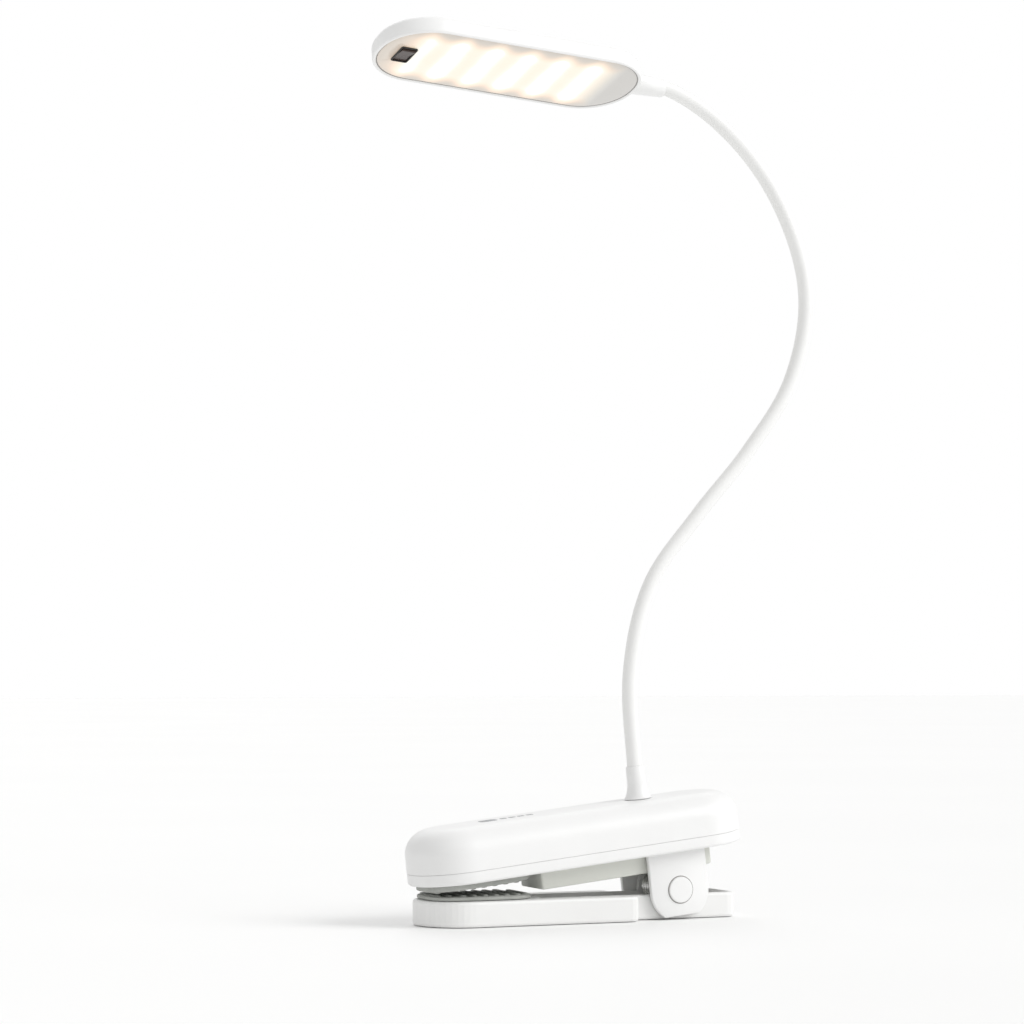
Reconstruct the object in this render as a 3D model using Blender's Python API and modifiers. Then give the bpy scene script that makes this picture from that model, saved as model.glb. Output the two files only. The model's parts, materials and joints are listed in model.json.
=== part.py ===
"""Clip-on reading lamp: a sprung clip whose upper jaw is the battery housing, a flexible neck, and a slim
LED head. Metres, +Z up. The origin is on the flat underside of the lower jaw, straight below the hinge pin.
+X points to the hinge end, -X to the jaw tips, and the neck bends in the plane Y = 0.

Three frames carry the pieces: the world for the lower jaw, "housing_axis" on the hinge pin for the battery
housing, and "head_axis" at the end of the neck for the head. Each neck link has its own joint frame.
"""

import math

import bmesh
import bpy
from mathutils import Matrix, Vector

MM = 0.001
GAP = 0.3 * MM  # between pieces that touch

# Clip: the hinge pin and how the housing sits on it
PIN_HEIGHT = 13 * MM  # over the underside of the lower jaw
HOUSING_PITCH = math.radians(6.4)  # the tips are low
PIN_RADIUS = 2 * MM
PIN_CLEARANCE = 0.3 * MM
CAP_RADIUS = 5.7 * MM
CAP_THICKNESS = 1.5 * MM
CAP_RECESS = 1.0 * MM

# Battery housing, in the frame of the hinge pin
HOUSING_LENGTH = 158 * MM
HOUSING_WIDTH = 44 * MM
HOUSING_REAR = 37.5 * MM  # how far it runs past the pin
HOUSING_BASE = 17.2 * MM  # its flat underside over the pin
HOUSING_HEADROOM = 11.2 * MM  # from the battery cell to the crown, for the neck's nut
HOUSING_SPLIT = 10 * MM  # height of the lower shell
HOUSING_WALL = 2 * MM
HOUSING_TOP_ROUND = 8.5 * MM
HOUSING_EDGE_ROUND = 1.6 * MM

# Battery channel under the housing, between the lugs
CHANNEL_FRONT = 64.5 * MM
CHANNEL_REAR = 19 * MM
CHANNEL_DEPTH = 8.4 * MM
LUG_HALF_LENGTH = 14.2 * MM
LUG_SETBACK = 1.5 * MM  # between the channel's side and a lug's inner face
LUG_THICKNESS = 2.6 * MM
LUG_DROP = 11.4 * MM  # how far the lugs reach below the pin

# Lower jaw
JAW_TIP = 119 * MM
JAW_WIDTH = 40 * MM
JAW_HEIGHT = 11 * MM
JAW_SHOULDER = 21 * MM  # where the wide part ends
JAW_TAIL = 30 * MM  # how far it runs past the pin
JAW_FLOOR = 2.4 * MM
JAW_SIDE_CLEARANCE = 0.8 * MM
JAW_ROUND = 1.2 * MM
JAW_SHOULDER_CORNER = 4 * MM
JAW_TAIL_CORNER = 5 * MM
JAW_POCKET_MARGIN = (6 * MM, 4 * MM)  # from the pad's edge to the pocket under it
JAW_POCKET_CORNER = 6 * MM
EAR_RADIUS = 8 * MM
EAR_THICKNESS = 2.4 * MM
PAD_LENGTH = 48 * MM
PAD_WIDTH = 34 * MM
PAD_END_FLAT = 8 * MM  # straight stretch across each end
PAD_FRONT = 116 * MM  # from the pin
LOWER_PAD_THICKNESS = 2.2 * MM
UPPER_PAD_THICKNESS = 3 * MM

# Torsion spring on the hinge pin
SPRING_WIRE = 1.6 * MM
SPRING_RADIUS = 6.4 * MM
SPRING_TURNS = 7
SPRING_PITCH = 2.6 * MM
SPRING_LEG = 17 * MM
SPRING_STEPS = 14  # points in a turn
BUSH_RADIUS = 4.9 * MM

# What the housing holds
CELL_RADIUS = 9.2 * MM
CELL_CLEARANCE = 0.8 * MM  # to the channel's walls
CELL_LENGTH = 65 * MM
CELL_CENTRE = -29 * MM
CELL_EDGE = 0.8 * MM  # bevel at its front end
SADDLES = (("front", -0.3), ("rear", 0.08))  # their places from the cell's middle, in cell lengths
SADDLE_THICKNESS = 5 * MM
SADDLE_MARGIN = 4 * MM  # beside the cell
SADDLE_COVER = 1.6 * MM  # over the cell
SADDLE_SHOULDER = 6 * MM  # where its chamfer starts, over the cell's axis
SADDLE_CHAMFER = 3.5 * MM
BOARD_THICKNESS = 1.6 * MM
BOARD_CORNER = 2 * MM
BOARD_SETBACK = 1 * MM  # behind the housing's rear wall
SOCKET_WIDTH = 9 * MM
SOCKET_HEIGHT = 3.4 * MM
SOCKET_DEPTH = 7.5 * MM
SOCKET_LIFT = 6.4 * MM  # its centre over the inner floor
SOCKET_SETBACK = 0.8 * MM  # its mouth behind the housing's rear
SOCKET_WALL = 0.4 * MM
SOCKET_FLAT = 0.1 * MM  # straight stretch between its corners
BOARD_LENGTH = 20 * MM
BOARD_WIDTH = 14 * MM
INDICATOR_CENTRE = -68 * MM
INDICATOR_LENGTH = 16 * MM
INDICATOR_WIDTH = 4.2 * MM
SCREW_RADIUS = 1.3 * MM
SCREW_HEAD_RADIUS = 2.6 * MM
SCREW_HEAD_HEIGHT = 1.6 * MM
SCREW_RECESS = 0.2 * MM
SCREW_SEAT = 5 * MM  # height of the feet that the screws pass through
SCREW_BITE = 8 * MM  # depth of the holes that they bite into
BOSS_RADIUS = 3.4 * MM
SCREW_PLACES = ((-98 * MM, 13 * MM), (26 * MM, 11 * MM))  # along and to each side

# Neck: links of one length, each leaning from the vertical in the plane Y = 0 (+ leans to +X)
NECK_FOOT = -8.5 * MM  # along the housing
NECK_RADIUS = 3.3 * MM
NECK_LINK = 40 * MM
NECK_LEANS = (-2.5, 14.4, 37.0, 41.0, 33.5, 11.3, -16.6, -37.6, -58.7)
SOCKET_CLEARANCE = 0.3 * MM  # between a link's round end and the cup that it turns in
COLLAR_HEIGHT = 14.5 * MM
COLLAR_TOP_RADIUS = 4.2 * MM
COLLAR_FOOT_RADIUS = 6.2 * MM
COLLAR_FLARE = ((0.45, 0.3 * MM), (0.2, 0.9 * MM))  # share of its height, and growth over the top's radius
NECK_JOINT_RISE = 2.1 * MM  # the first joint over the collar
NIPPLE_BORE = 1.6 * MM
NIPPLE_REACH = 0.25  # how far it goes up the collar, as a share
NIPPLE_TAIL = 1 * MM  # below the nut
NUT_RADIUS = 6.3 * MM
NUT_HEIGHT = 3.4 * MM
WASHER_HEIGHT = 0.8 * MM

# Head, in the frame of the neck's last joint: +X to the neck, +Z out of its top
HEAD_YAW = math.radians(4)
HEAD_PITCH = math.radians(3)
HEAD_ROLL = math.radians(-14.5)
HEAD_LENGTH = 127 * MM
HEAD_WIDTH = 48 * MM
HEAD_HEIGHT = 9 * MM
HEAD_CORNER = 23 * MM
HEAD_WALL = 1.6 * MM
HEAD_ROUND = 3.2 * MM
HEAD_BASE_ROUND = 0.4 * MM
HEAD_COLLAR_START = 3.6 * MM  # from the joint
HEAD_START = 18.6 * MM
HEAD_COLLAR_BITE = 4 * MM  # how far the collar reaches into the head
COLLAR_WIDE = 6 * MM  # the collar's half width and half height at the head
COLLAR_FLAT = 4.1 * MM
TENON_WIDE = 4.6 * MM  # the same, of its end inside the head
TENON_FLAT = 2.6 * MM
SPIGOT_RADIUS = 1.6 * MM
SPIGOT_CLEARANCE = 2 * MM  # short of the collar's inner end
DIFFUSER_THICKNESS = 1.7 * MM
DIFFUSER_PROUD = 0.3 * MM
DIFFUSER_ROUND = 0.8 * MM
LED_ROWS = 2
LED_COLUMNS = 6
LED_PITCH = 16.3 * MM
LED_ROW_SPACING = 22 * MM
LED_SIZE = (3.5 * MM, 2.8 * MM, 0.8 * MM)
LED_BLOCK_CENTRE = 5 * MM  # from the head's middle, to the free end
LED_BOARD_MARGIN = 1.4 * MM
LED_BOARD_THICKNESS = 1 * MM

# Rocker switch near the head's free end
SWITCH_INSET = 12.6 * MM  # its middle from the free end
SWITCH_LENGTH = 8 * MM
SWITCH_WIDTH = 13 * MM
SWITCH_BEZEL = 1 * MM
SWITCH_CORNER = 1.2 * MM
SWITCH_PROUD = 0.8 * MM
SWITCH_WALL = 1.9 * MM  # round the rocker's well
SWITCH_WELL_CLEARANCE = 0.6 * MM  # under the rocker
ROCKER_TILT = math.radians(7)
ROCKER_DEPTH = 2.6 * MM
ROCKER_END_CLEARANCE = 0.55 * MM
ROCKER_DIP = 0.5 * MM

ROUND_STEPS = 12  # sides in a half circle of an outline


def clear_scene():
    for obj in list(bpy.data.objects):
        bpy.data.objects.remove(obj, do_unlink=True)


def new_collection(name):
    found = bpy.data.collections.new(name)
    bpy.context.scene.collection.children.link(found)
    return found


def material(name, colour, roughness, metallic=0.0):
    made = bpy.data.materials.new(name)
    made.use_nodes = True
    shader = made.node_tree.nodes["Principled BSDF"]
    shader.inputs["Base Color"].default_value = (*colour, 1)
    shader.inputs["Roughness"].default_value = roughness
    shader.inputs["Metallic"].default_value = metallic
    return made


def frame(name, place, parent=None):
    """An empty whose matrix is place, in its parent's space."""
    made = bpy.data.objects.new(name, None)
    made.empty_display_size = 0.01
    PARTS.objects.link(made)
    made.parent = parent
    made.matrix_local = place
    return made


def new_object(name, mesh, parent, finish=None):
    """A part if it has a finish, and a cutter if it has none."""
    made = bpy.data.objects.new(name, mesh)
    (PARTS if finish else CUTTERS).objects.link(made)
    made.parent = parent
    if finish:
        mesh.materials.append(finish)
    else:
        made.hide_render = True
        made.display_type = "WIRE"
    return made


# ---- Outlines: lists of (a, b) points, anticlockwise


def arc(centre, radius, start, end, steps):
    """Points from angle start to angle end, in degrees, both ends included."""
    angles = [math.radians(start + (end - start) * i / steps) for i in range(steps + 1)]
    return [(centre[0] + radius * math.cos(a), centre[1] + radius * math.sin(a)) for a in angles]


def rounded_rectangle(length, width, corner, centre=(0, 0)):
    steps = ROUND_STEPS // 2
    x = length / 2 - corner
    y = width / 2 - corner
    points = []
    for sx, sy, start in ((1, -1, -90), (1, 1, 0), (-1, 1, 90), (-1, -1, 180)):
        points += arc((centre[0] + sx * x, centre[1] + sy * y), corner, start, start + 90, steps)
    return without_repeats(points)


def without_repeats(points):
    kept = []
    for point in points:
        if not kept or math.dist(point, kept[-1]) > 1e-6:
            kept.append(point)
    if math.dist(kept[0], kept[-1]) <= 1e-6:
        kept.pop()
    return kept


def circle(radius, centre=(0, 0), steps=2 * ROUND_STEPS):
    return arc(centre, radius, 0, 360 - 360 / steps, steps - 1)


# ---- Solids


def prism(name, outline, low, high, parent, finish=None, top_round=0.0, base_round=0.0, segments=3):
    """An outline in X and Y, raised from low to high, with its two rims rounded by a Bevel."""
    mesh = bpy.data.meshes.new(name)
    work = bmesh.new()
    base = work.faces.new([work.verts.new((x, y, low)) for x, y in outline])
    raised = bmesh.ops.extrude_face_region(work, geom=[base])["geom"]
    top = [v for v in raised if isinstance(v, bmesh.types.BMVert)]
    bmesh.ops.translate(work, verts=top, vec=(0, 0, high - low))
    bmesh.ops.recalc_face_normals(work, faces=work.faces)
    width = max(top_round, base_round)
    if width:
        weight = work.edges.layers.float.new("bevel_weight_edge")
        for edge in work.edges:
            heights = {round(v.co.z, 7) for v in edge.verts}
            if heights == {round(high, 7)}:
                edge[weight] = top_round / width
            elif heights == {round(low, 7)}:
                edge[weight] = base_round / width
    work.to_mesh(mesh)
    work.free()
    made = new_object(name, mesh, parent, finish)
    if width:
        rounding = made.modifiers.new("round rims", "BEVEL")
        rounding.limit_method = "WEIGHT"
        rounding.width = width
        rounding.segments = segments
        rounding.use_clamp_overlap = False
    return made


def plate(name, outline, low, high, parent, finish=None):
    """An outline in X and Z, drawn out along Y from low to high."""
    made = prism(name, [(x, -z) for x, z in outline][::-1], low, high, parent, finish)
    made.data.transform(Matrix.Rotation(math.radians(-90), 4, "X"))
    return made


def box(name, low, high, parent, finish=None):
    mesh = bpy.data.meshes.new(name)
    work = bmesh.new()
    size = Vector(high) - Vector(low)
    middle = (Vector(high) + Vector(low)) / 2
    bmesh.ops.create_cube(work, size=1, matrix=Matrix.Translation(middle) @ Matrix.Diagonal((*size, 1)))
    work.to_mesh(mesh)
    work.free()
    return new_object(name, mesh, parent, finish)


def turned(name, profile, parent, finish=None, steps=20):
    """A profile of (radius, height) points, from the top down its outer side, turned about Z."""
    mesh = bpy.data.meshes.new(name)
    points = [(radius, 0, height) for radius, height in profile]
    edges = [(i, i + 1) for i in range(len(points) - 1)]
    if profile[0][0] > 0:
        edges.append((len(points) - 1, 0))
    mesh.from_pydata(points, edges, [])
    made = new_object(name, mesh, parent, finish)
    screw = made.modifiers.new("turn", "SCREW")
    screw.steps = screw.render_steps = steps
    screw.use_merge_vertices = True
    screw.merge_threshold = 0.00001
    screw.use_smooth_shade = False
    return made


def rod(name, radius, low, high, parent, finish=None, steps=20):
    return turned(name, [(0, high), (radius, high), (radius, low), (0, low)], parent, finish, steps)


def combine(part, *others, how="DIFFERENCE"):
    for other in others:
        step = part.modifiers.new(f"{how.lower()} {other.name}", "BOOLEAN")
        step.operation = how
        step.object = other
        step.solver = "EXACT"


def facing(direction, place):
    """A matrix whose +Z points along direction, at place."""
    turn = Vector(direction).to_track_quat("Z", "Y").to_matrix().to_4x4()
    return Matrix.Translation(place) @ turn


# ---- Battery housing


def inner_outline():
    """The cavity of both housing shells, seen from above."""
    length = HOUSING_LENGTH - 2 * HOUSING_WALL
    width = HOUSING_WIDTH - 2 * HOUSING_WALL
    return rounded_rectangle(length, width, width / 2, (HOUSING_MIDDLE, 0))


def outer_outline():
    return rounded_rectangle(HOUSING_LENGTH, HOUSING_WIDTH, HOUSING_WIDTH / 2, (HOUSING_MIDDLE, 0))


def screw_spots():
    return [(x, side * y) for x, y in SCREW_PLACES for side in (-1, 1)]


def lug_outline():
    """A lug seen along the pin: straight sides, and a round foot about the pin with a flat under it."""
    radius = LUG_HALF_LENGTH
    flat = math.degrees(math.asin(LUG_DROP / radius))
    top = HOUSING_BASE + HOUSING_WALL / 2
    return [(radius, top), (-radius, top), *arc((0, 0), radius, 180, 180 + flat, 5),
            *arc((0, 0), radius, 360 - flat, 360, 5)]


def housing_bottom():
    base = HOUSING_BASE
    shell = prism("housing_bottom", outer_outline(), base, SPLIT_HEIGHT - GAP / 2, HOUSING, WHITE,
                  base_round=HOUSING_EDGE_ROUND)
    cavity = prism("cut_housing_bottom", inner_outline(), base + HOUSING_WALL, SPLIT_HEIGHT + MM, HOUSING)
    combine(shell, cavity)

    half = CHANNEL_WIDTH / 2
    floor = base - CHANNEL_DEPTH
    channel = box("join_channel", (-CHANNEL_FRONT, -half, floor),
                  (CHANNEL_REAR, half, base + HOUSING_WALL / 2), HOUSING)
    combine(shell, channel, how="UNION")
    lugs = []
    for side in (-1, 1):
        inner, outer = side * LUG_GAP / 2, side * (LUG_GAP / 2 + LUG_THICKNESS)
        low, high = sorted((inner, outer))
        lugs.append(plate(f"join_lug_{side}", lug_outline(), low, high, HOUSING))
    combine(shell, *lugs, how="UNION")
    for x, y in screw_spots():
        combine(shell, boss(f"join_foot_{x:.3f}_{y:.3f}", x, y, base + MM, base + SCREW_SEAT), how="UNION")

    wall = HOUSING_WALL
    trough = box("cut_channel", (wall - CHANNEL_FRONT, wall - half, floor + wall),
                 (CHANNEL_REAR - wall, half - wall, SPLIT_HEIGHT + MM), HOUSING)
    combine(shell, trough, across("cut_pin_hole", PIN_RADIUS + PIN_CLEARANCE, LUG_OUTER + MM))
    for side in (-1, 1):
        seat = across(f"cut_cap_seat_{side}", CAP_RADIUS + GAP, CAP_RECESS)
        seat.data.transform(Matrix.Translation((0, side * LUG_OUTER, 0)))
        combine(shell, seat)
    for x, y in screw_spots():
        hole = turned(f"cut_screw_{x:.3f}_{y:.3f}", [
            (0, base + SCREW_SEAT + MM), (SCREW_RADIUS + GAP, base + SCREW_SEAT + MM),
            (SCREW_RADIUS + GAP, base + SCREW_HEAD_HEIGHT + GAP),
            (SCREW_HEAD_RADIUS + GAP, base + SCREW_HEAD_HEIGHT + GAP),
            (SCREW_HEAD_RADIUS + GAP, base - MM), (0, base - MM)], HOUSING, steps=12)
        hole.location = (x, y, 0)
        combine(shell, hole)
    combine(shell, socket_mouth("cut_socket_low"))
    return shell


def across(name, radius, half_length, steps=24):
    """A round cutter along the pin."""
    made = prism(name, circle(radius, steps=steps), -half_length, half_length, HOUSING)
    made.data.transform(Matrix.Rotation(math.radians(90), 4, "X"))
    return made


def boss(name, x, y, low, high):
    return prism(name, circle(BOSS_RADIUS, (x, y), 12), low, high, HOUSING)


def socket_mouth(name):
    """The opening for the charging socket, through the rear wall."""
    outline = rounded_rectangle(SOCKET_WIDTH + 2 * GAP, SOCKET_HEIGHT + 2 * GAP, SOCKET_HEIGHT / 2, (0, 0))
    made = prism(name, outline, HOUSING_REAR - 4 * HOUSING_WALL, HOUSING_REAR + 2 * HOUSING_WALL, HOUSING)
    made.data.transform(Matrix.Translation((0, 0, SOCKET_CENTRE)) @ RISING_ALONG_X)
    return made


def housing_top():
    shell = prism("housing_top", outer_outline(), SPLIT_HEIGHT + GAP / 2, HOUSING_CROWN, HOUSING, WHITE,
                  top_round=HOUSING_TOP_ROUND, segments=5)
    ceiling = HOUSING_CROWN - HOUSING_WALL
    cavity = prism("cut_housing_top", inner_outline(), SPLIT_HEIGHT - MM, ceiling, HOUSING,
                   top_round=HOUSING_TOP_ROUND - HOUSING_WALL, segments=4)
    combine(shell, cavity)
    for x, y in screw_spots():
        low = HOUSING_BASE + SCREW_SEAT + GAP
        post = boss(f"join_boss_{x:.3f}_{y:.3f}", x, y, low, HOUSING_CROWN - HOUSING_WALL / 2)
        combine(shell, post, how="UNION")
        pilot = prism(f"cut_pilot_{x:.3f}_{y:.3f}", circle(SCREW_RADIUS + GAP, (x, y), 12), low - MM,
                      low + SCREW_BITE, HOUSING)
        combine(shell, pilot)
    neck_hole = prism("cut_neck_hole", circle(NECK_RADIUS + GAP, (NECK_FOOT, 0)),
                      HOUSING_CROWN - 2 * HOUSING_WALL, HOUSING_CROWN + HOUSING_WALL, HOUSING)
    window = prism("cut_indicator", indicator_outline(GAP), HOUSING_CROWN - 2 * HOUSING_WALL,
                   HOUSING_CROWN + HOUSING_WALL, HOUSING)
    combine(shell, neck_hole, window)
    return shell


def indicator_outline(grow=0.0):
    width = INDICATOR_WIDTH + 2 * grow
    return rounded_rectangle(INDICATOR_LENGTH + 2 * grow, width, width / 2, (INDICATOR_CENTRE, 0))


def housing_fittings():
    prism("indicator_lens", indicator_outline(), HOUSING_CROWN - HOUSING_WALL, HOUSING_CROWN, HOUSING, LENS)
    for number, (x, y) in enumerate(screw_spots(), 1):
        base = HOUSING_BASE
        screw = turned(f"housing_screw_{number}", [
            (0, base + SCREW_SEAT + SCREW_BITE - MM), (SCREW_RADIUS, base + SCREW_SEAT + SCREW_BITE - 2 * MM),
            (SCREW_RADIUS, base + SCREW_HEAD_HEIGHT), (SCREW_HEAD_RADIUS, base + SCREW_HEAD_HEIGHT),
            (SCREW_HEAD_RADIUS, base + SCREW_RECESS), (0, base + SCREW_RECESS)], HOUSING, STEEL, steps=12)
        screw.location = (x, y, 0)
    pad_top = HOUSING_BASE - GAP
    prism("upper_pad", pad_outline(), pad_top - UPPER_PAD_THICKNESS, pad_top, HOUSING, RUBBER)
    for side, name in ((-1, "near"), (1, "far")):
        outer = LUG_OUTER - CAP_RECESS + GAP + CAP_THICKNESS
        low, high = sorted((side * (LUG_OUTER - CAP_RECESS + GAP), side * outer))
        plate(f"pin_cap_{name}", circle(CAP_RADIUS), low, high, HOUSING, WHITE)
    half = LUG_OUTER - CAP_RECESS
    pin = rod("hinge_pin", PIN_RADIUS, -half, half, HOUSING, STEEL, 24)
    pin.rotation_euler = (math.radians(90), 0, 0)


def pad_outline():
    corner = (PAD_WIDTH - PAD_END_FLAT) / 2
    return rounded_rectangle(PAD_LENGTH, PAD_WIDTH, corner, (PAD_LENGTH / 2 - PAD_FRONT, 0))


def battery():
    cell = turned("battery_cell", [
        (0, CELL_LENGTH / 2), (CELL_RADIUS - CELL_EDGE, CELL_LENGTH / 2),
        (CELL_RADIUS, CELL_LENGTH / 2 - CELL_EDGE), (CELL_RADIUS, -CELL_LENGTH / 2), (0, -CELL_LENGTH / 2)],
        HOUSING, CELL_WRAP, steps=24)
    cell.matrix_local = facing((-1, 0, 0), (CELL_CENTRE, 0, CELL_HEIGHT))
    foot = HOUSING_BASE + HOUSING_WALL + GAP
    outer = CELL_RADIUS + SADDLE_MARGIN
    inner = CELL_RADIUS + GAP
    start = math.degrees(math.asin((foot - CELL_HEIGHT) / inner))
    foot_reach = inner * math.cos(math.radians(start))
    shoulder = CELL_HEIGHT + SADDLE_SHOULDER
    crown = CELL_HEIGHT + inner + SADDLE_COVER
    outline = [(-outer, foot), (-foot_reach, foot),
               *arc((0, CELL_HEIGHT), inner, 180 - start, start, 12)[1:-1],
               (foot_reach, foot), (outer, foot), (outer, shoulder), (outer - SADDLE_CHAMFER, crown),
               (SADDLE_CHAMFER - outer, crown), (-outer, shoulder)]
    for name, share in SADDLES:
        half = SADDLE_THICKNESS / 2
        saddle = plate(f"battery_saddle_{name}", outline, -half, half, HOUSING, BLACK)
        saddle.matrix_local = Matrix.Translation((CELL_CENTRE + share * CELL_LENGTH, 0, 0)) @ Matrix.Rotation(
            math.radians(90), 4, "Z")


def charging():
    """The charge board on the socket's underside, at the rear of the housing."""
    top = SOCKET_CENTRE - SOCKET_HEIGHT / 2 - GAP
    rear = HOUSING_REAR - HOUSING_WALL - BOARD_SETBACK
    outline = rounded_rectangle(BOARD_LENGTH, BOARD_WIDTH, BOARD_CORNER, (rear - BOARD_LENGTH / 2, 0))
    prism("charge_board", outline, top - BOARD_THICKNESS, top, HOUSING, BOARD)
    corner = (SOCKET_HEIGHT - SOCKET_FLAT) / 2
    socket = rounded_rectangle(SOCKET_WIDTH, SOCKET_HEIGHT, corner)
    body = prism("charge_socket", socket, -SOCKET_DEPTH, 0, HOUSING, STEEL)
    wall = SOCKET_WALL
    mouth = rounded_rectangle(SOCKET_WIDTH - 2 * wall, SOCKET_HEIGHT - 2 * wall, corner - wall)
    hollow = prism("cut_socket", mouth, MM - SOCKET_DEPTH, MM, HOUSING)
    place = Matrix.Translation((HOUSING_REAR - SOCKET_SETBACK, 0, SOCKET_CENTRE))
    body.matrix_local = hollow.matrix_local = place @ RISING_ALONG_X
    combine(body, hollow)


# ---- Lower jaw, pad, spring


def jaw_outline():
    """The lower jaw seen from above: a round tip, straight sides, and a narrow tail between the lugs."""
    half = JAW_WIDTH / 2
    tail = LUG_GAP / 2 - JAW_SIDE_CLEARANCE
    tip = [*arc((half - JAW_TIP, 0), half, 90, 270, 2 * ROUND_STEPS)]
    shoulder, end = JAW_SHOULDER_CORNER, JAW_TAIL_CORNER
    right = [*arc((-JAW_SHOULDER - shoulder, shoulder - half), shoulder, 270, 360, 4),
             (-JAW_SHOULDER, -tail), *arc((JAW_TAIL - end, end - tail), end, 270, 360, 4)]
    left = [(x, -y) for x, y in reversed(right)]
    return without_repeats([*tip, *right, *left])


def lower_jaw():
    half = LUG_GAP / 2 - JAW_SIDE_CLEARANCE
    jaw = prism("lower_jaw", jaw_outline(), 0, JAW_HEIGHT, None, WHITE, top_round=JAW_ROUND,
                base_round=JAW_ROUND, segments=2)
    ears = []
    outline = [(EAR_RADIUS, JAW_FLOOR), *arc((0, PIN_HEIGHT), EAR_RADIUS, 0, 180, 10),
               (-EAR_RADIUS, JAW_FLOOR)]
    for side in (-1, 1):
        low, high = sorted((side * half, side * (half - EAR_THICKNESS)))
        ears.append(plate(f"join_ear_{side}", outline, low, high, None))
    combine(jaw, *ears, how="UNION")
    inner = half - EAR_THICKNESS
    throat = box("cut_throat", (-CHANNEL_FRONT, -inner, JAW_FLOOR),
                 (JAW_TAIL - JAW_FLOOR, inner, PIN_HEIGHT + EAR_RADIUS + MM), None)
    margin_x, margin_y = JAW_POCKET_MARGIN
    pocket = rounded_rectangle(PAD_LENGTH - 2 * margin_x, PAD_WIDTH - 2 * margin_y, JAW_POCKET_CORNER,
                               (PAD_LENGTH / 2 - PAD_FRONT, 0))
    under_pad = prism("cut_under_pad", pocket, JAW_FLOOR, JAW_HEIGHT + MM, None)
    pin_hole = prism("cut_ear_hole", circle(PIN_RADIUS + PIN_CLEARANCE), -LUG_GAP, LUG_GAP, None)
    pin_hole.matrix_local = facing((0, 1, 0), (0, 0, PIN_HEIGHT))
    combine(jaw, throat, under_pad, pin_hole)
    low = JAW_HEIGHT + GAP
    prism("lower_pad", pad_outline(), low, low + LOWER_PAD_THICKNESS, None, RUBBER)


def spring_points():
    """The wire's centreline about the pin: the leg under the channel, the coil, the leg on the jaw's tail."""
    half = SPRING_TURNS * SPRING_PITCH / 2
    turns = SPRING_TURNS + 0.5
    steps = int(SPRING_STEPS * turns)
    coil = []
    for i in range(steps + 1):
        angle = math.radians(90 + 360 * turns * i / steps)
        y = half - 2 * half * i / steps
        coil.append((SPRING_RADIUS * math.cos(angle), y, SPRING_RADIUS * math.sin(angle)))
    clearance = SPRING_WIRE / 2 + 2 * GAP
    high = ((HOUSING_BASE - CHANNEL_DEPTH) / math.cos(HOUSING_PITCH) + SPRING_LEG * math.tan(HOUSING_PITCH)
            - clearance)
    low = JAW_FLOOR + clearance - PIN_HEIGHT
    upper = [(SPRING_LEG, half, high), (SPRING_LEG / 2, half, (SPRING_RADIUS + high) / 2)]
    lower = [(SPRING_LEG / 2, -half, (low - SPRING_RADIUS) / 2), (SPRING_LEG, -half, low)]
    return [*upper, *coil, *lower]


def torsion_spring():
    curve = bpy.data.curves.new("torsion_spring", "CURVE")
    curve.dimensions = "3D"
    curve.bevel_depth = SPRING_WIRE / 2
    curve.bevel_resolution = 1
    curve.use_fill_caps = True
    points = spring_points()
    spline = curve.splines.new("POLY")
    spline.points.add(len(points) - 1)
    for point, place in zip(spline.points, points):
        point.co = (*place, 1)
    spring = new_object("torsion_spring", curve, None, CHROME)
    spring.location = (0, 0, PIN_HEIGHT)
    bore = PIN_RADIUS + PIN_CLEARANCE
    half = LUG_GAP / 2 - JAW_SIDE_CLEARANCE - EAR_THICKNESS - GAP
    bush = turned("spring_bush", [(bore, half), (BUSH_RADIUS, half), (BUSH_RADIUS, -half), (bore, -half)],
                  None, BLACK)
    bush.matrix_local = facing((0, 1, 0), (0, 0, PIN_HEIGHT))


# ---- Neck


def cup_and_ball(length, ball=True, radius=NECK_RADIUS):
    """A link's profile: a cup round the next joint at the top, and a ball about its own joint at the foot."""
    cup = radius + SOCKET_CLEARANCE
    rim = math.degrees(math.asin(radius / cup))
    top = [(r, length - h) for h, r in arc((0, 0), cup, 0, rim, 5)]
    top[0] = (0, length - cup)
    if not ball:
        return [*top, (radius, 0), (0, 0)]
    foot = [(r, -h) for h, r in reversed(arc((0, 0), radius, 0, 90, 4))]
    foot[-1] = (0, -radius)
    return [*top, *foot]


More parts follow.
